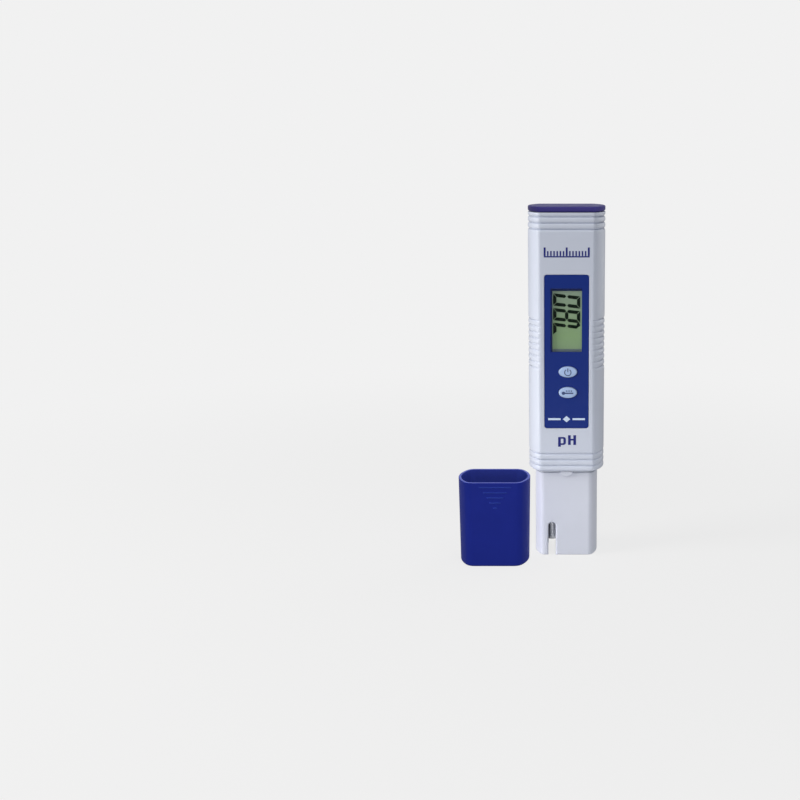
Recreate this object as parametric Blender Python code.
"""Pocket pH tester and its protective cap, as an assembly of separate solids.

Units are metres with +Z up; the dimensions below are in millimetres. The pen stands on the lower end of
its probe housing and faces -Y. The cap stands open side up at the pen's left, a little in front of it. The
origin is the bottom centre of the box around both.
"""

from math import atan2, cos, pi, sin, sqrt

import bpy
from mathutils import Vector

MM = 0.001

# Body: flat front and back, bowed sides, a little narrower at the bottom than at the top.
BODY_TOP = 140.15
BODY_BOTTOM = 36.05
BODY_HALF_WIDTH_TOP = 15.5
BODY_HALF_WIDTH_BOTTOM = 15.3
BODY_HALF_DEPTH = 11.5
BODY_FLAT_TOP = 11.25
BODY_FLAT_BOTTOM = 11.0
BODY_CORNER = 2.0
BODY_EDGE = 0.5
WALL = 1.8
SHOULDER = 2.0

GROOVE_DEPTH = 0.5
GROOVE_HALF = 0.75
UPPER_GROOVES = (133.6, 136.05, 138.45)
LOWER_GROOVES = (38.3, 40.75, 43.2)
GRIP_LOWEST = 78.35
GRIP_PITCH = 2.4
GRIP_COUNT = 9

# Front label, display and buttons.
LABEL_WIDTH = 17.7
LABEL_BOTTOM = 54.0
LABEL_TOP = 115.8
LABEL_CORNER = 1.0
LABEL_THICKNESS = 0.3
LABEL_SINK = 0.05
RECESS_DEPTH = 0.6
RECESS_MARGIN = 0.2
WINDOW_X = -0.17
WINDOW_WIDTH = 12.45
WINDOW_BOTTOM = 85.05
WINDOW_TOP = 110.4
WINDOW_LEDGE = 0.4
LENS_THICKNESS = 1.0
BUTTON_X = 0.5
POWER_BUTTON_Z = 77.0
MODE_BUTTON_Z = 68.6
BUTTON_HALF_WIDTH = 3.65
BUTTON_HALF_HEIGHT = 2.22
BUTTON_PROUD = 0.5
BUTTON_GAP = 0.17
BUTTON_STEM_END = 5.0
STEM_RADIUS = 1.25
FLANGE_HALF_WIDTH = 4.9
FLANGE_HALF_HEIGHT = 3.4
FLANGE_THICKNESS = 0.8

# Battery lid.
LID_BOTTOM = 140.35
LID_TOP = 142.5
LID_ROUND = 0.6
LID_CHAMFER = 0.3
SKIRT_BOTTOM = 135.5
SKIRT_GAP = 0.25
SKIRT_WALL = 2.0
SEAL_GROOVE = (137.0, 138.6)
SEAL_GROOVE_DEPTH = 0.9

# Probe housing.
HOUSING_TOP = 35.75
HOUSING_HALF_WIDTH = 12.7
HOUSING_HALF_DEPTH = 9.2
HOUSING_FLAT = 10.15
HOUSING_CORNER = 2.3
HOUSING_EDGE = 0.6
HOUSING_WALL = 1.7
CHAMBER_TOP = 16.0
BULKHEAD_TOP = 18.5
BAY_TOP = 34.0
NECK_TOP = 50.0
NECK_HALF_WIDTH = 10.8
NECK_HALF_DEPTH = 7.4
NECK_FLAT = 8.4
NECK_WALL = 1.4
SLOT_X = -5.9
SLOT_WIDTH = 3.0
SLOT_HEIGHT = 13.7
TAB_HALF_WIDTH = 2.6
TAB_HEIGHT = 2.3
TAB_PROUD = 1.1

# Sensors in the probe housing.
ELECTRODE_X = SLOT_X
ELECTRODE_RADIUS = 3.5
ELECTRODE_TIP = 4.5
ELECTRODE_TOP = 31.5
GLASS_WALL = 0.7
TEMPERATURE_X = 1.0
TEMPERATURE_RADIUS = 1.4
TEMPERATURE_TIP = 6.0
TEMPERATURE_TOP = 26.0
REFERENCE_X = 7.2
PLUG_RADIUS = 2.0
PLUG_BOTTOM = 12.5
PLUG_TOP = 21.0
RESERVOIR_RADIUS = 3.4
RESERVOIR_WALL = 0.8
RESERVOIR_TOP = 31.5
WIRE_BORE = 0.6
BUSHING_FLANGE = 0.9

# Electronics.
BOARD_FRONT = -2.2
BOARD_THICKNESS = 1.0
BOARD_HALF_WIDTH = 10.8
BOARD_BOTTOM = 52.0
BOARD_TOP = 118.0
LCD_HALF_WIDTH = 7.8
LCD_BOTTOM = 83.3
LCD_TOP = 111.3
LCD_FRONT = -9.2
LCD_BACK = -7.2
LCD_FRAME_WALL = 1.2
ZEBRA_X = 6.6
ZEBRA_HALF_WIDTH = 0.9
SOLDER_GAP = 0.2
PLATE_BEHIND_BOARD = 2.0
PLATE_THICKNESS = 1.6
PLATE_HALF_WIDTH = 11.5
BOSS_RADIUS = 2.2
BORE_RADIUS = 1.05
SCREW_SPOTS = ((-8.0, 56.5), (8.0, 56.5), (-8.0, 115.4), (8.0, 115.4))
HEAD_RADIUS = 1.7
SHANK_RADIUS = 0.85
SCREW_LENGTH = 5.0

# Batteries.
HOLDER_BOTTOM = 120.5
HOLDER_TOP = 133.8
HOLDER_HALF_WIDTH = 11.2
HOLDER_HALF_DEPTH = 7.5
CELL_RADIUS = 5.8
CELL_Z = 127.6
CELL_PITCH = 5.5
CELL_CAN = 4.6
CELL_LENGTH = 5.2
POCKET_HALF_LENGTH = 9.6
POCKET_RADIUS = 6.1
CONTACT_X = 9.1
CONTACT_HALF_WIDTH = 1.5
CONTACT_THICKNESS = 0.3

# Protective cap, beside the pen.
CAP_OFFSET = (-29.1, -13.6)
CAP_HEIGHT = 34.8
CAP_HALF_WIDTH_RIM = 14.475
CAP_HALF_WIDTH_FOOT = 13.95
CAP_HALF_DEPTH_RIM = 11.575
CAP_HALF_DEPTH_FOOT = 11.1
CAP_FLAT_RIM = 10.5
CAP_FLAT_FOOT = 10.1
CAP_CORNER = 4.0
CAP_EDGE = 1.2
CAP_RIM_ROUND = 0.3
CAP_WALL_RIM = 1.5
CAP_WALL_FOOT = 1.1
CAP_FLOOR = 1.8
CAP_RIDGES = ((24.4, 1.7), (26.5, 4.6), (28.6, 6.7), (30.7, 9.6), (33.0, 12.9))
RIDGE_PROUD = 0.2
SPONGE_HEIGHT = 5.0
SPONGE_GAP = 0.4

# The gap that touching pieces keep.
CLEAR = 0.3

# How finely an outline is stepped, and how much its flat shortens for each millimetre that it is set in.
CORNER_STEPS = 2
SIDE_STEPS = 8
OFFSET_TO_FLAT = 0.43

FACING_FRONT = (pi / 2, 0, 0)


def clear_scene():
    for obj in list(bpy.data.objects):
        bpy.data.objects.remove(obj, do_unlink=True)


def material(name, colour, roughness, metallic=0.0, alpha=1.0):
    made = bpy.data.materials.new(name)
    made.use_nodes = True
    shader = made.node_tree.nodes["Principled BSDF"]
    shader.inputs["Base Color"].default_value = (*colour, 1.0)
    shader.inputs["Roughness"].default_value = roughness
    shader.inputs["Metallic"].default_value = metallic
    shader.inputs["Alpha"].default_value = alpha
    made.diffuse_color = (*colour, alpha)
    return made


def group(name, x, y):
    empty = bpy.data.objects.new(name, None)
    empty.location = (x * MM, y * MM, 0)
    bpy.context.scene.collection.objects.link(empty)
    return empty


def add(name, points, faces, surface, parent, at=(0, 0, 0), turn=(0, 0, 0), smooth=True):
    """A mesh object of points in millimetres, at a place in its parent's millimetres."""
    mesh = bpy.data.meshes.new(name)
    mesh.from_pydata([Vector(point) * MM for point in points], [], faces)
    if smooth:
        mesh.shade_smooth()
        mesh.set_sharp_from_angle(angle=0.6)
    obj = bpy.data.objects.new(name, mesh)
    obj.parent = parent
    obj.location = Vector(at) * MM
    obj.rotation_euler = turn
    if surface:
        mesh.materials.append(surface)
    bpy.context.scene.collection.objects.link(obj)
    return obj


def as_cutter(obj):
    obj.hide_render = True
    obj.display_type = "WIRE"
    return obj


def combine(obj, operation, *others):
    """Cuts each other object out of this one, or joins it on, in the order given."""
    for other in others:
        modifier = obj.modifiers.new(f"{operation} {other.name}", "BOOLEAN")
        modifier.operation = operation
        modifier.solver = "EXACT"
        modifier.object = as_cutter(other)
    return obj


def skin(rings, closed=False):
    """Points and faces of a solid through rings of points, each ring counter-clockwise seen from +Z.

    An open stack of rings is capped at both ends. A closed one runs back into its first ring, as a tube's
    wall does that goes up the outside and down the inside.
    """
    count = len(rings[0])
    points = [point for ring in rings for point in ring]
    pairs = [(index, index + 1) for index in range(len(rings) - 1)]
    if closed:
        pairs.append((len(rings) - 1, 0))
    faces = []
    for low, high in pairs:
        for index in range(count):
            after = (index + 1) % count
            below = (low * count + index, low * count + after)
            above = (high * count + after, high * count + index)
            faces.append(below + above)
    if not closed:
        last = (len(rings) - 1) * count
        faces.append(tuple(reversed(range(count))))
        faces.append(tuple(range(last, last + count)))
    return points, faces


def level(outline, z):
    return [(x, y, z) for x, y in outline]


def bowed(half_width, half_depth, flat_half, corner):
    """Outline with flats at front and back, bowed sides and rounded corners, counter-clockwise."""
    bulge = half_width - flat_half
    radius = (half_depth**2 + bulge**2) / (2 * bulge)
    centre_x = half_width - radius
    corner_y = half_depth - corner
    corner_x = centre_x + sqrt((radius - corner) ** 2 - corner_y**2)
    reach = atan2(corner_y, corner_x - centre_x)
    front_corner = []
    for step in range(CORNER_STEPS + 1):
        angle = -pi / 2 + (pi / 2 - reach) * step / CORNER_STEPS
        front_corner.append((corner_x + corner * cos(angle), -corner_y + corner * sin(angle)))
    side = []
    for step in range(1, SIDE_STEPS):
        angle = -reach + 2 * reach * step / SIDE_STEPS
        side.append((centre_x + radius * cos(angle), radius * sin(angle)))
    right = front_corner + side + [(x, -y) for x, y in reversed(front_corner)]
    return right + [(-x, -y) for x, y in right]


def ellipse(half_x, half_y, steps=20):
    angles = [2 * pi * step / steps for step in range(steps)]
    return [(half_x * cos(angle), half_y * sin(angle)) for angle in angles]


def rounded_rectangle(half_x, half_y, corner, steps=3):
    outline = []
    for quarter, (side_x, side_y) in enumerate(((1, 1), (-1, 1), (-1, -1), (1, -1))):
        for step in range(steps + 1):
            angle = (quarter + step / steps) * pi / 2
            x = side_x * (half_x - corner) + corner * cos(angle)
            y = side_y * (half_y - corner) + corner * sin(angle)
            outline.append((x, y))
    return outline


def prism(name, outline, low, high, surface, parent, at=(0, 0, 0), turn=(0, 0, 0), smooth=True):
    points, faces = skin([level(outline, low), level(outline, high)])
    return add(name, points, faces, surface, parent, at, turn, smooth)


def block(name, low, high, surface, parent):
    """A box between two corners, with its origin at its middle."""
    middle = [(a + b) / 2 for a, b in zip(low, high)]
    half = [(b - a) / 2 for a, b in zip(low, high)]
    outline = [(half[0], -half[1]), (half[0], half[1]), (-half[0], half[1]), (-half[0], -half[1])]
    return prism(name, outline, -half[2], half[2], surface, parent, middle, smooth=False)


def turned(name, profile, surface, parent, at=(0, 0, 0), turn=(0, 0, 0), steps=20):
    """A round solid about its local Z through (radius, z) pairs from its bottom to its top."""
    rings = [level(ellipse(radius, radius, steps), z) for radius, z in profile]
    points, faces = skin(rings)
    return add(name, points, faces, surface, parent, at, turn)


def tube(name, profile, surface, parent, at=(0, 0, 0), steps=20):
    """A round solid with a bore: (radius, z) pairs up the outside and down the inside."""
    rings = [level(ellipse(radius, radius, steps), z) for radius, z in profile]
    points, faces = skin(rings, closed=True)
    return add(name, points, faces, surface, parent, at)


def lead(name, route, radius, surface, parent):
    """A wire along a smooth curve through the route's points, in millimetres."""
    curve = bpy.data.curves.new(name, "CURVE")
    curve.dimensions = "3D"
    curve.bevel_depth = radius * MM
    curve.bevel_resolution = 2
    curve.use_fill_caps = True
    smooth_route = catmull_rom(route, 5)
    spline = curve.splines.new("POLY")
    spline.points.add(len(smooth_route) - 1)
    for point, place in zip(spline.points, smooth_route):
        point.co = (*(place * MM), 1)
    curve.materials.append(surface)
    obj = bpy.data.objects.new(name, curve)
    obj.parent = parent
    bpy.context.scene.collection.objects.link(obj)
    return obj


def catmull_rom(route, steps):
    """Points on the smooth curve through the route, with this many steps from each point to the next."""
    places = [Vector(place) for place in route]
    places = [2 * places[0] - places[1]] + places + [2 * places[-1] - places[-2]]
    found = []
    for before, start, end, after in zip(places, places[1:], places[2:], places[3:]):
        for step in range(steps):
            t = step / steps
            bend = 2 * before - 5 * start + 4 * end - after
            twist = -before + 3 * start - 3 * end + after
            found.append((2 * start + (end - before) * t + bend * t**2 + twist * t**3) / 2)
    return found + [places[-2]]


# Sections of the three bowed shells.


def body_outline(z, inset=0.0, side_inset=0.0):
    up = (z - BODY_BOTTOM) / (BODY_TOP - BODY_BOTTOM)
    half_width = BODY_HALF_WIDTH_BOTTOM + (BODY_HALF_WIDTH_TOP - BODY_HALF_WIDTH_BOTTOM) * up
    flat = BODY_FLAT_BOTTOM + (BODY_FLAT_TOP - BODY_FLAT_BOTTOM) * up
    corner = max(BODY_CORNER - inset * OFFSET_TO_FLAT, 0.4)
    return bowed(
        half_width - inset - side_inset, BODY_HALF_DEPTH - inset, flat - inset * OFFSET_TO_FLAT, corner
    )


def body_ring(z, inset=0.0, side_inset=0.0):
    return level(body_outline(z, inset, side_inset), z)


def housing_outline(inset=0.0):
    corner = max(HOUSING_CORNER - inset * OFFSET_TO_FLAT, 0.4)
    flat = HOUSING_FLAT - inset * OFFSET_TO_FLAT
    return bowed(HOUSING_HALF_WIDTH - inset, HOUSING_HALF_DEPTH - inset, flat, corner)


def neck_outline(inset=0.0):
    return bowed(NECK_HALF_WIDTH - inset, NECK_HALF_DEPTH - inset, NECK_FLAT - inset * OFFSET_TO_FLAT, 0.6)


def along_cap(foot, rim, z):
    """A size that changes evenly from the cap's foot to its rim."""
    return foot + (rim - foot) * z / CAP_HEIGHT


def cap_half_width(z):
    return along_cap(CAP_HALF_WIDTH_FOOT, CAP_HALF_WIDTH_RIM, z)


def cap_half_depth(z):
    return along_cap(CAP_HALF_DEPTH_FOOT, CAP_HALF_DEPTH_RIM, z)


def cap_wall(z):
    return along_cap(CAP_WALL_FOOT, CAP_WALL_RIM, z)


def cap_ring(z, inset=0.0):
    flat = along_cap(CAP_FLAT_FOOT, CAP_FLAT_RIM, z) - inset * OFFSET_TO_FLAT
    corner = max(CAP_CORNER - inset * OFFSET_TO_FLAT, 0.5)
    return level(bowed(cap_half_width(z) - inset, cap_half_depth(z) - inset, flat, corner), z)


def pen_place():
    """Where the pen's axis stands, so that the origin is the middle of the box around the pen and the cap."""
    highest_ridge = max(z for z, width in CAP_RIDGES)
    left = CAP_OFFSET[0] - cap_half_width(CAP_HEIGHT - CAP_RIM_ROUND)
    front = CAP_OFFSET[1] - cap_half_depth(highest_ridge) - RIDGE_PROUD
    return -(left + BODY_HALF_WIDTH_TOP) / 2, -(front + BODY_HALF_DEPTH) / 2


# Outer shells.


def groove_rings(z, inset=GROOVE_DEPTH, side_inset=0.0):
    return [
        body_ring(z - GROOVE_HALF),
        body_ring(z, inset, side_inset),
        body_ring(z + GROOVE_HALF),
    ]


def body_shell(surface, pen):
    rings = [body_ring(BODY_BOTTOM, BODY_EDGE), body_ring(BODY_BOTTOM + BODY_EDGE)]
    for z in LOWER_GROOVES:
        rings += groove_rings(z)
    for index in range(GRIP_COUNT):
        rings += groove_rings(GRIP_LOWEST + index * GRIP_PITCH, 0.0, GROOVE_DEPTH)
    for z in UPPER_GROOVES:
        rings += groove_rings(z)
    rings.append(body_ring(BODY_TOP))
    rings.append(body_ring(BODY_TOP, WALL))
    rings.append(body_ring(BODY_BOTTOM + SHOULDER, WALL))
    rings.append(level(neck_outline(-CLEAR), BODY_BOTTOM + SHOULDER))
    rings.append(level(neck_outline(-CLEAR), BODY_BOTTOM))
    points, faces = skin(rings, closed=True)
    shell = add("body_shell", points, faces, surface, pen)
    recess = front_cutter(
        "label_recess_cutter",
        rounded_rectangle(
            LABEL_WIDTH / 2 + RECESS_MARGIN,
            (LABEL_TOP - LABEL_BOTTOM) / 2 + RECESS_MARGIN,
            LABEL_CORNER + RECESS_MARGIN,
        ),
        (LABEL_BOTTOM + LABEL_TOP) / 2,
        BODY_HALF_DEPTH - RECESS_DEPTH,
        pen,
    )
    window = front_cutter(
        "window_cutter",
        rounded_rectangle(
            WINDOW_WIDTH / 2 + WINDOW_LEDGE, (WINDOW_TOP - WINDOW_BOTTOM) / 2 + WINDOW_LEDGE, 0.5, 1
        ),
        (WINDOW_BOTTOM + WINDOW_TOP) / 2,
        BODY_HALF_DEPTH - 2 * WALL,
        pen,
        WINDOW_X,
    )
    return combine(shell, "DIFFERENCE", recess, window, *button_cutters("body", pen))


def front_cutter(name, outline, z, depth, pen, x=0.0):
    """A cutter through the front face, reaching back to this distance from the pen's axis."""
    return prism(name, outline, depth, BODY_HALF_DEPTH + 2, None, pen, (x, 0, z), FACING_FRONT)


def button_cutters(name, pen):
    outline = ellipse(BUTTON_HALF_WIDTH + BUTTON_GAP, BUTTON_HALF_HEIGHT + BUTTON_GAP, 24)
    return [
        front_cutter(f"{name}_button_cutter_{z:.0f}", outline, z, BODY_HALF_DEPTH - 2 * WALL, pen, BUTTON_X)
        for z in (POWER_BUTTON_Z, MODE_BUTTON_Z)
    ]


def front_label(surface, pen):
    middle = (LABEL_BOTTOM + LABEL_TOP) / 2
    outline = rounded_rectangle(LABEL_WIDTH / 2, (LABEL_TOP - LABEL_BOTTOM) / 2, LABEL_CORNER)
    front = BODY_HALF_DEPTH - LABEL_SINK
    label = prism(
        "front_label", outline, front - LABEL_THICKNESS, front, surface, pen, (0, 0, middle), FACING_FRONT
    )
    window = front_cutter(
        "label_window_cutter",
        rounded_rectangle(WINDOW_WIDTH / 2, (WINDOW_TOP - WINDOW_BOTTOM) / 2, 0.4, 1),
        (WINDOW_BOTTOM + WINDOW_TOP) / 2,
        BODY_HALF_DEPTH - WALL,
        pen,
        WINDOW_X,
    )
    return combine(label, "DIFFERENCE", window, *button_cutters("label", pen))


def display_window(surface, pen):
    front = BODY_HALF_DEPTH - RECESS_DEPTH - 0.15
    middle = (WINDOW_BOTTOM + WINDOW_TOP) / 2
    outline = rounded_rectangle(
        WINDOW_WIDTH / 2 + WINDOW_LEDGE / 2, (WINDOW_TOP - WINDOW_BOTTOM) / 2 + WINDOW_LEDGE / 2, 0.5, 1
    )
    place = (WINDOW_X, 0, middle)
    return prism("display_window", outline, front - LENS_THICKNESS, front, surface, pen, place, FACING_FRONT)


def button(name, z, surface, pen):
    """An oval key with a flange behind the wall and a stem. Its origin is on the front face, +Z outwards."""
    flange_back = -WALL - CLEAR - FLANGE_THICKNESS
    sizes = (
        (STEM_RADIUS, STEM_RADIUS, -BUTTON_STEM_END),
        (STEM_RADIUS, STEM_RADIUS, flange_back),
        (FLANGE_HALF_WIDTH, FLANGE_HALF_HEIGHT, flange_back),
        (FLANGE_HALF_WIDTH, FLANGE_HALF_HEIGHT, -WALL - CLEAR),
        (BUTTON_HALF_WIDTH, BUTTON_HALF_HEIGHT, -WALL - CLEAR),
        (BUTTON_HALF_WIDTH, BUTTON_HALF_HEIGHT, BUTTON_PROUD - 0.3),
        (BUTTON_HALF_WIDTH - 0.3, BUTTON_HALF_HEIGHT - 0.3, BUTTON_PROUD - 0.08),
        (BUTTON_HALF_WIDTH - 1.3, BUTTON_HALF_HEIGHT - 1.0, BUTTON_PROUD),
    )
    rings = [level(ellipse(half_x, half_y, 24), height) for half_x, half_y, height in sizes]
    points, faces = skin(rings)
    return add(name, points, faces, surface, pen, (BUTTON_X, -BODY_HALF_DEPTH, z), FACING_FRONT)


def battery_lid(surface, pen):
    """The lid's plate lies on the body's rim, and its hollow skirt plugs into the body."""
    skirt = WALL + SKIRT_GAP
    rings = [
        body_ring(SKIRT_BOTTOM, skirt + SKIRT_WALL),
        body_ring(SKIRT_BOTTOM, skirt),
        body_ring(SEAL_GROOVE[0], skirt),
        body_ring(SEAL_GROOVE[0], skirt + SEAL_GROOVE_DEPTH),
        body_ring(SEAL_GROOVE[1], skirt + SEAL_GROOVE_DEPTH),
        body_ring(SEAL_GROOVE[1], skirt),
        body_ring(LID_BOTTOM, skirt),
        level(body_outline(BODY_TOP, LID_CHAMFER), LID_BOTTOM),
        level(body_outline(BODY_TOP), LID_BOTTOM + LID_CHAMFER),
        level(body_outline(BODY_TOP), LID_TOP - LID_ROUND),
        level(body_outline(BODY_TOP, LID_ROUND * 0.3), LID_TOP - LID_ROUND * 0.3),
        level(body_outline(BODY_TOP, LID_ROUND), LID_TOP),
    ]
    points, faces = skin(rings)
    lid = add("battery_lid", points, faces, surface, pen)
    inside = skirt + SKIRT_WALL
    hollow_rings = [body_ring(SKIRT_BOTTOM - 1, inside), body_ring(LID_BOTTOM, inside)]
    hollow = add("lid_hollow_cutter", *skin(hollow_rings), None, pen)
    return combine(lid, "DIFFERENCE", hollow)


def oval_ring(name, outline_at, inner, outer, low, high, surface, pen):
    """A flat ring between two insets of an outline."""
    rings = [
        level(outline_at(outer), low),
        level(outline_at(outer), high),
        level(outline_at(inner), high),
        level(outline_at(inner), low),
    ]
    return add(name, *skin(rings, closed=True), surface, pen)


def lid_seal(surface, pen):
    middle = sum(SEAL_GROOVE) / 2
    inner = WALL + SKIRT_GAP + SEAL_GROOVE_DEPTH - 0.1
    return oval_ring(
        "lid_seal",
        lambda inset: body_outline(middle, inset),
        inner,
        WALL + 0.08,
        SEAL_GROOVE[0] + 0.2,
        SEAL_GROOVE[1] - 0.2,
        surface,
        pen,
    )


# Probe housing and its sensors.


def probe_housing(surface, pen):
    rings = [
        level(housing_outline(HOUSING_EDGE), 0),
        level(housing_outline(HOUSING_EDGE * 0.3), HOUSING_EDGE * 0.3),
        level(housing_outline(), HOUSING_EDGE),
        level(housing_outline(), HOUSING_TOP),
        level(neck_outline(), HOUSING_TOP),
        level(neck_outline(), NECK_TOP),
    ]
    housing = add("probe_housing", *skin(rings), surface, pen)
    tabs = [housing_tab(side, pen) for side in (-1, 1)]
    chamber = prism("chamber_cutter", housing_outline(HOUSING_WALL), -1, CHAMBER_TOP, None, pen)
    bay_rings = [
        level(housing_outline(HOUSING_WALL), BULKHEAD_TOP),
        level(housing_outline(HOUSING_WALL), BAY_TOP - 2),
        level(neck_outline(NECK_WALL), BAY_TOP),
        level(neck_outline(NECK_WALL), NECK_TOP + 1),
    ]
    bay = add("bay_cutter", *skin(bay_rings), None, pen)
    holes = []
    for name, x, radius in (
        ("electrode", ELECTRODE_X, ELECTRODE_RADIUS + 0.8),
        ("temperature", TEMPERATURE_X, TEMPERATURE_RADIUS + CLEAR),
        ("junction", REFERENCE_X, PLUG_RADIUS + CLEAR),
    ):
        circle = ellipse(radius, radius)
        low, high = CHAMBER_TOP - 1, BULKHEAD_TOP + 1
        holes.append(prism(f"{name}_hole_cutter", circle, low, high, None, pen, (x, 0, 0)))
    combine(housing, "UNION", *tabs)
    return combine(housing, "DIFFERENCE", chamber, bay, slot_cutter(pen), *holes)


def slot_cutter(pen):
    """The slot through both flat walls: open at the foot and round at the top."""
    radius = SLOT_WIDTH / 2
    angles = [pi * step / 8 for step in range(9)]
    arch = [(radius * cos(angle), SLOT_HEIGHT - radius + radius * sin(angle)) for angle in angles]
    outline = [(radius, -1), *arch, (-radius, -1)]
    reach = HOUSING_HALF_DEPTH + 1
    return prism("slot_cutter", outline, -reach, reach, None, pen, (SLOT_X, 0, 0), FACING_FRONT)


def housing_tab(side, pen):
    """A half-round snap tab for the cap, just under the step, on the front (-1) or the back (1)."""
    angles = [pi * (step / 8 - 1) for step in range(9)]
    outline = [(TAB_HALF_WIDTH * cos(angle), TAB_HEIGHT * sin(angle)) for angle in angles]
    low, high = HOUSING_HALF_DEPTH - 0.5, HOUSING_HALF_DEPTH + TAB_PROUD
    turn = FACING_FRONT if side < 0 else (pi / 2, 0, pi)
    name = "front_tab" if side < 0 else "rear_tab"
    return prism(name, outline, low, high, None, pen, (0, 0, HOUSING_TOP), turn)


def housing_seal(surface, pen):
    bottom = BODY_BOTTOM + SHOULDER + 0.15
    return oval_ring("housing_seal", neck_outline, -0.15, -1.5, bottom, bottom + 1.5, surface, pen)


def glass_electrode(surface, pen):
    """A glass tube, open at the top, with a blunt round bulb at its tip."""
    outer, inner = ELECTRODE_RADIUS, ELECTRODE_RADIUS - GLASS_WALL
    tip = ELECTRODE_TIP
    profile = (
        (outer * 0.35, tip),
        (outer * 0.72, tip + 0.35),
        (outer * 0.94, tip + 1.2),
        (outer, tip + 2.4),
        (outer, ELECTRODE_TOP),
    )
    electrode = turned("glass_electrode", profile, surface, pen, (ELECTRODE_X, 0, 0))
    hollow = (
        (inner * 0.4, tip + GLASS_WALL),
        (inner * 0.8, tip + GLASS_WALL + 0.5),
        (inner, tip + GLASS_WALL + 2.0),
        (inner, ELECTRODE_TOP + 1),
    )
    bore = turned("electrode_cutter", hollow, None, pen, (ELECTRODE_X, 0, 0))
    return combine(electrode, "DIFFERENCE", bore)


def electrode_fittings(materials, pen):
    place = (ELECTRODE_X, 0, 0)
    inner = ELECTRODE_RADIUS + 0.1
    outer = ELECTRODE_RADIUS + 0.6
    flange = ELECTRODE_RADIUS + 1.3
    lower_seat = CHAMBER_TOP - CLEAR
    upper_seat = BULKHEAD_TOP + CLEAR
    bushing = (
        (flange, lower_seat - BUSHING_FLANGE),
        (flange, lower_seat),
        (outer, lower_seat),
        (outer, upper_seat),
        (flange, upper_seat),
        (flange, upper_seat + BUSHING_FLANGE),
        (inner, upper_seat + BUSHING_FLANGE),
        (inner, lower_seat - BUSHING_FLANGE),
    )
    tube("electrode_bushing", bushing, materials["rubber"], pen, place)
    header_top = ELECTRODE_TOP + 2.0
    header = (
        (ELECTRODE_RADIUS - 0.2, ELECTRODE_TOP + CLEAR),
        (ELECTRODE_RADIUS - 0.2, header_top),
        (WIRE_BORE, header_top),
        (WIRE_BORE, ELECTRODE_TOP + CLEAR),
    )
    tube("electrode_header", header, materials["dark_plastic"], pen, place)
    wire = ((0.4, ELECTRODE_TIP + 3.0), (0.4, ELECTRODE_TOP + 4.0))
    turned("silver_wire", wire, materials["silver"], pen, place, steps=10)


def temperature_probe(surface, pen):
    radius = TEMPERATURE_RADIUS
    tip = TEMPERATURE_TIP
    profile = (
        (radius * 0.4, tip),
        (radius * 0.85, tip + 0.4),
        (radius, tip + 1.2),
        (radius, TEMPERATURE_TOP),
    )
    return turned("temperature_probe", profile, surface, pen, (TEMPERATURE_X, 0, 0), steps=14)


def reference_cell(materials, pen):
    place = (REFERENCE_X, 0, 0)
    plug = ((PLUG_RADIUS - 0.3, PLUG_BOTTOM), (PLUG_RADIUS, PLUG_BOTTOM + 0.3), (PLUG_RADIUS, PLUG_TOP))
    turned("reference_junction", plug, materials["ceramic"], pen, place, steps=16)
    outer, inner = RESERVOIR_RADIUS, RESERVOIR_RADIUS - RESERVOIR_WALL
    low, top = BULKHEAD_TOP + CLEAR, RESERVOIR_TOP
    reservoir = (
        (outer, low),
        (outer, top),
        (WIRE_BORE, top),
        (WIRE_BORE, top - 1),
        (inner, top - 1),
        (inner, low),
    )
    tube("reference_reservoir", reservoir, materials["clear_plastic"], pen, place)
    wire = ((0.3, PLUG_TOP + 1), (0.3, RESERVOIR_TOP + 1.5))
    turned("reference_wire", wire, materials["silver"], pen, place, steps=10)


def sensor_leads(materials, pen):
    """Three insulated leads from the sensors up the neck to pads on the board's lower front."""
    pad_y = BOARD_FRONT - 1.1
    lead(
        "electrode_lead",
        ((ELECTRODE_X, 0, ELECTRODE_TOP + 4.5), (-5.6, -0.6, 41.0), (-5.2, -2.2, 47.0), (-5.0, pad_y, 54.5)),
        0.7,
        materials["lead_black"],
        pen,
    )
    lead(
        "temperature_lead",
        ((TEMPERATURE_X, 0, TEMPERATURE_TOP + 0.4), (0.8, 0.2, 34.0), (0.3, -1.2, 43.0), (0.0, pad_y, 54.5)),
        0.6,
        materials["lead_red"],
        pen,
    )
    lead(
        "reference_lead",
        ((REFERENCE_X, 0, RESERVOIR_TOP + 1.9), (6.6, 0.2, 38.0), (5.4, -1.6, 46.0), (5.0, pad_y, 54.5)),
        0.5,
        materials["lead_white"],
        pen,
    )


# Electronics.


def main_board(surface, pen):
    board = block(
        "main_board",
        (-BOARD_HALF_WIDTH, BOARD_FRONT, BOARD_BOTTOM),
        (BOARD_HALF_WIDTH, BOARD_FRONT + BOARD_THICKNESS, BOARD_TOP),
        surface,
        pen,
    )
    holes = [
        prism(f"board_hole_cutter_{index}", ellipse(1.2, 1.2, 14), -1, 4, None, pen, (x, 0, z), FACING_FRONT)
        for index, (x, z) in enumerate(SCREW_SPOTS)
    ]
    return combine(board, "DIFFERENCE", *holes)


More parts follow.
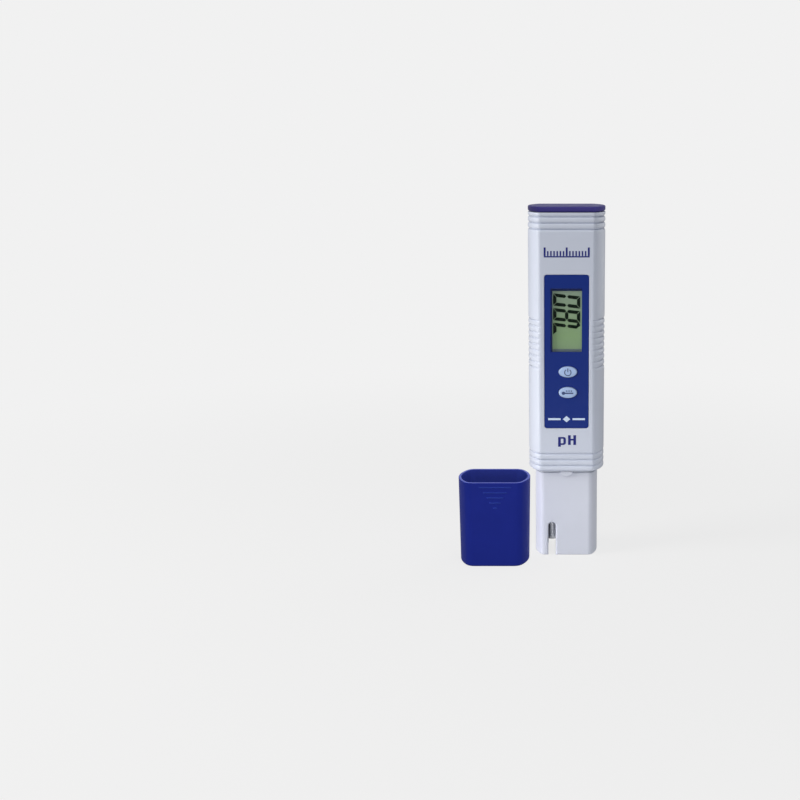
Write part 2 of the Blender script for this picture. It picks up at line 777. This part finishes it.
def board_parts(materials, pen):
    """The parts soldered to the board's front, each a little clear of it."""
    seat = BOARD_FRONT - SOLDER_GAP
    block("controller_chip", (-3.5, seat - 1.2, 57.5), (3.5, seat, 64.0), materials["chip"], pen)
    block("amplifier_chip", (-9.6, seat - 1.4, 60.0), (-5.6, seat, 65.0), materials["chip"], pen)
    crystal = rounded_rectangle(2.0, 4.2, 1.9, 4)
    prism("crystal_can", crystal, -seat, -seat + 2.4, materials["steel"], pen, (7.4, 0, 62.5), FACING_FRONT)
    for name, z in (("power_switch", POWER_BUTTON_Z), ("mode_switch", MODE_BUTTON_Z)):
        square = rounded_rectangle(2.25, 2.25, 0.3, 1)
        knob = rounded_rectangle(0.75, 0.75, 0.7, 1)
        rings = [level(square, 0), level(square, 2.9), level(knob, 2.9), level(knob, 3.3)]
        add(name, *skin(rings), materials["dark_plastic"], pen, (BUTTON_X, seat, z), FACING_FRONT)


def display_parts(materials, pen):
    block(
        "lcd_panel",
        (-LCD_HALF_WIDTH, LCD_FRONT, LCD_BOTTOM),
        (LCD_HALF_WIDTH, LCD_BACK, LCD_TOP),
        materials["lcd"],
        pen,
    )
    film = LCD_BACK + CLEAR
    half_width = ZEBRA_X - ZEBRA_HALF_WIDTH - CLEAR
    low = (-half_width, film, LCD_BOTTOM + 1)
    high = (half_width, film + 0.2, LCD_TOP - 1)
    block("lcd_reflector", low, high, materials["foil"], pen)
    for name, x in (("zebra_strip_left", -ZEBRA_X), ("zebra_strip_right", ZEBRA_X)):
        low = (x - ZEBRA_HALF_WIDTH, LCD_BACK + CLEAR, LCD_BOTTOM + 1)
        high = (x + ZEBRA_HALF_WIDTH, BOARD_FRONT - CLEAR, LCD_TOP - 1)
        block(name, low, high, materials["zebra"], pen)
    half_height = (LCD_TOP - LCD_BOTTOM) / 2
    margin = CLEAR + LCD_FRAME_WALL
    outside = rounded_rectangle(LCD_HALF_WIDTH + margin, half_height + margin, 0.6, 2)
    inside = rounded_rectangle(LCD_HALF_WIDTH + CLEAR, half_height + CLEAR, 0.3, 2)
    front, back = -LCD_FRONT + 0.1, -BOARD_FRONT + CLEAR
    rings = [level(outside, back), level(outside, front), level(inside, front), level(inside, back)]
    middle = (LCD_BOTTOM + LCD_TOP) / 2
    add("lcd_frame", *skin(rings, closed=True), materials["dark_plastic"], pen, (0, 0, middle), FACING_FRONT)


def inner_frame(surface, pen):
    """The plate behind the board, with a boss at each screw."""
    board_back = -(BOARD_FRONT + BOARD_THICKNESS)
    plate_front = -board_back + PLATE_BEHIND_BOARD
    frame = block(
        "inner_frame",
        (-PLATE_HALF_WIDTH, plate_front, BOARD_BOTTOM - 1.5),
        (PLATE_HALF_WIDTH, plate_front + PLATE_THICKNESS, BOARD_TOP + 1.0),
        surface,
        pen,
    )
    bosses = []
    bores = []
    for index, (x, z) in enumerate(SCREW_SPOTS):
        boss = ellipse(BOSS_RADIUS, BOSS_RADIUS, 16)
        bore = ellipse(BORE_RADIUS, BORE_RADIUS, 14)
        root = -plate_front - PLATE_THICKNESS / 2
        boss_top = board_back - CLEAR
        bosses.append(prism(f"boss_{index}", boss, root, boss_top, None, pen, (x, 0, z), FACING_FRONT))
        bores.append(prism(f"bore_{index}", bore, root - 2, boss_top + 1, None, pen, (x, 0, z), FACING_FRONT))
    combine(frame, "UNION", *bosses)
    return combine(frame, "DIFFERENCE", *bores)


def board_screws(surface, pen):
    front = -BOARD_FRONT + SOLDER_GAP
    profile = (
        (SHANK_RADIUS * 0.4, front - SCREW_LENGTH),
        (SHANK_RADIUS, front - SCREW_LENGTH + 0.7),
        (SHANK_RADIUS, front),
        (HEAD_RADIUS, front),
        (HEAD_RADIUS, front + 0.7),
        (HEAD_RADIUS * 0.75, front + 1.2),
    )
    for index, (x, z) in enumerate(SCREW_SPOTS, start=1):
        screw = turned(f"board_screw_{index}", profile, surface, pen, (x, 0, z), FACING_FRONT, 16)
        depth = front + 0.6
        bars = [
            prism(
                f"drive_cutter_{index}_{turn}",
                [(0.9, -0.2), (0.9, 0.2), (-0.9, 0.2), (-0.9, -0.2)],
                depth,
                depth + 2,
                None,
                pen,
                (x, 0, z),
                (pi / 2, turn * pi / 2, 0),
            )
            for turn in range(2)
        ]
        combine(screw, "DIFFERENCE", *bars)


# Batteries.


def battery_holder(surface, pen):
    """A tray with a round-bottomed pocket, open at the top, and a slit in its floor for each contact."""
    holder = block(
        "battery_holder",
        (-HOLDER_HALF_WIDTH, -HOLDER_HALF_DEPTH, HOLDER_BOTTOM),
        (HOLDER_HALF_WIDTH, HOLDER_HALF_DEPTH, HOLDER_TOP),
        surface,
        pen,
    )
    angles = [pi * (step / 12 - 1) for step in range(13)]
    arch = [(POCKET_RADIUS * cos(angle), POCKET_RADIUS * sin(angle)) for angle in angles]
    above_holder = HOLDER_TOP - CELL_Z + 2
    outline = [*arch, (POCKET_RADIUS, above_holder), (-POCKET_RADIUS, above_holder)]
    pocket = prism(
        "pocket_cutter",
        outline,
        -POCKET_HALF_LENGTH,
        POCKET_HALF_LENGTH,
        None,
        pen,
        (0, 0, CELL_Z),
        (pi / 2, 0, pi / 2),
    )
    slits = []
    for side in (-1, 1):
        x = side * (CONTACT_X + CONTACT_THICKNESS / 2)
        low = (x - CONTACT_THICKNESS, -CONTACT_HALF_WIDTH - CLEAR, HOLDER_BOTTOM - 1)
        high = (x + CONTACT_THICKNESS, CONTACT_HALF_WIDTH + CLEAR, CELL_Z - CELL_RADIUS + 1)
        slits.append(block(f"slit_cutter_{side}", low, high, None, pen))
    return combine(holder, "DIFFERENCE", pocket, *slits)


def battery_cells(surface, pen):
    """Three button cells on one axis, each with a can and a smaller lower-voltage end."""
    profile = (
        (CELL_RADIUS - 0.3, 0.0),
        (CELL_RADIUS, 0.3),
        (CELL_RADIUS, CELL_CAN - 0.2),
        (CELL_RADIUS - 0.3, CELL_CAN),
        (CELL_RADIUS - 1.0, CELL_CAN),
        (CELL_RADIUS - 1.2, CELL_LENGTH),
    )
    for index in range(3):
        x = (index - 1.5) * CELL_PITCH + (CELL_PITCH - CELL_LENGTH) / 2
        turned(f"battery_cell_{index + 1}", profile, surface, pen, (x, 0, CELL_Z), (0, pi / 2, 0), 28)


def contact(name, side, spring, surface, pen):
    """A contact strip: a leg through the holder's floor and a blade, bowed inwards if it is a spring."""
    path = [(CONTACT_X, HOLDER_BOTTOM - 1.3), (CONTACT_X, CELL_Z - 3.5)]
    if spring:
        path += [(CONTACT_X - 0.35, CELL_Z - 1.5), (CONTACT_X - 0.5, CELL_Z)]
        path += [(CONTACT_X - 0.35, CELL_Z + 1.5)]
    path.append((CONTACT_X, CELL_Z + 3.5))
    outline = path + [(x + CONTACT_THICKNESS, z) for x, z in reversed(path)]
    outline = [(x * side, z) for x, z in outline]
    if side > 0:
        outline.reverse()
    half = CONTACT_HALF_WIDTH
    return prism(name, outline, -half, half, surface, pen, (0, 0, 0), FACING_FRONT, smooth=False)


# Protective cap.


def protective_cap(surface, cap):
    rings = [
        cap_ring(0, CAP_EDGE),
        cap_ring(CAP_EDGE * 0.3, CAP_EDGE * 0.3),
        cap_ring(CAP_EDGE),
        cap_ring(CAP_HEIGHT - CAP_RIM_ROUND),
        cap_ring(CAP_HEIGHT, CAP_RIM_ROUND),
        cap_ring(CAP_HEIGHT, CAP_WALL_RIM),
        cap_ring(CAP_FLOOR + 1.0, cap_wall(CAP_FLOOR)),
        cap_ring(CAP_FLOOR, cap_wall(CAP_FLOOR) + 1.0),
    ]
    points, faces = skin(rings)
    shell = add("protective_cap", points, faces, surface, cap)
    return combine(shell, "UNION", *[cap_ridge(z, width, cap) for z, width in CAP_RIDGES])


def cap_ridge(z, width, cap):
    """A low bar on the front flat that a finger pushes against."""
    outline = rounded_rectangle(width / 2, 0.3, 0.28, 2)
    low, high = cap_half_depth(z) - CAP_WALL_FOOT / 2, cap_half_depth(z) + RIDGE_PROUD
    return prism(f"cap_ridge_{z:.0f}", outline, low, high, None, cap, (0, 0, z), FACING_FRONT)


def cap_sponge(surface, cap):
    low = CAP_FLOOR + CLEAR
    rings = [
        cap_ring(low, cap_wall(low) + 3 * SPONGE_GAP),
        cap_ring(low + 1.0, cap_wall(low) + SPONGE_GAP),
        cap_ring(low + SPONGE_HEIGHT - 0.6, cap_wall(low) + SPONGE_GAP),
        cap_ring(low + SPONGE_HEIGHT, cap_wall(low) + SPONGE_GAP + 0.6),
    ]
    return add("cap_sponge", *skin(rings), surface, cap)


def make_materials():
    return {
        "white_plastic": material("white plastic", (0.62, 0.66, 0.76), 0.38),
        "housing_plastic": material("housing plastic", (0.66, 0.69, 0.78), 0.38),
        "blue_plastic": material("blue plastic", (0.014, 0.02, 0.19), 0.35),
        "lid_plastic": material("violet-blue plastic", (0.027, 0.021, 0.12), 0.35),
        "label_film": material("printed label film", (0.014, 0.03, 0.18), 0.4),
        "window": material("clear window", (0.9, 0.95, 0.95), 0.05, alpha=0.25),
        "key_plastic": material("key plastic", (0.42, 0.5, 0.7), 0.45),
        "lcd": material("display glass", (0.19, 0.28, 0.15), 0.2),
        "foil": material("reflector foil", (0.7, 0.72, 0.7), 0.3, 0.6),
        "zebra": material("contact rubber", (0.05, 0.05, 0.055), 0.7),
        "board": material("circuit board", (0.02, 0.16, 0.06), 0.5),
        "chip": material("chip resin", (0.02, 0.02, 0.022), 0.5),
        "steel": material("steel", (0.6, 0.6, 0.62), 0.3, 1.0),
        "spring_metal": material("plated spring metal", (0.68, 0.64, 0.5), 0.3, 1.0),
        "silver": material("silver", (0.75, 0.74, 0.72), 0.35, 1.0),
        "glass": material("electrode glass", (0.6, 0.63, 0.66), 0.08, alpha=0.6),
        "rubber": material("black rubber", (0.03, 0.03, 0.033), 0.7),
        "dark_plastic": material("black plastic", (0.03, 0.03, 0.035), 0.5),
        "frame_plastic": material("frame plastic", (0.75, 0.75, 0.72), 0.5),
        "ceramic": material("porous ceramic", (0.8, 0.78, 0.72), 0.9),
        "clear_plastic": material("clear plastic", (0.7, 0.75, 0.75), 0.2, alpha=0.6),
        "lead_black": material("black lead", (0.02, 0.02, 0.02), 0.5),
        "lead_red": material("red lead", (0.45, 0.03, 0.03), 0.5),
        "lead_white": material("white lead", (0.75, 0.75, 0.75), 0.5),
        "sponge": material("sponge", (0.75, 0.72, 0.55), 0.95),
    }


def main():
    clear_scene()
    materials = make_materials()
    pen_x, pen_y = pen_place()
    pen = group("pen", pen_x, pen_y)
    cap = group("cap", pen_x + CAP_OFFSET[0], pen_y + CAP_OFFSET[1])

    body_shell(materials["white_plastic"], pen)
    battery_lid(materials["lid_plastic"], pen)
    lid_seal(materials["rubber"], pen)
    front_label(materials["label_film"], pen)
    display_window(materials["window"], pen)
    button("power_button", POWER_BUTTON_Z, materials["key_plastic"], pen)
    button("mode_button", MODE_BUTTON_Z, materials["key_plastic"], pen)

    probe_housing(materials["housing_plastic"], pen)
    housing_seal(materials["rubber"], pen)
    glass_electrode(materials["glass"], pen)
    electrode_fittings(materials, pen)
    temperature_probe(materials["steel"], pen)
    reference_cell(materials, pen)
    sensor_leads(materials, pen)

    main_board(materials["board"], pen)
    board_parts(materials, pen)
    display_parts(materials, pen)
    inner_frame(materials["frame_plastic"], pen)
    board_screws(materials["steel"], pen)

    battery_holder(materials["dark_plastic"], pen)
    battery_cells(materials["steel"], pen)
    contact("positive_contact", -1, False, materials["spring_metal"], pen)
    contact("negative_contact", 1, True, materials["spring_metal"], pen)

    protective_cap(materials["blue_plastic"], cap)
    cap_sponge(materials["sponge"], cap)


main()
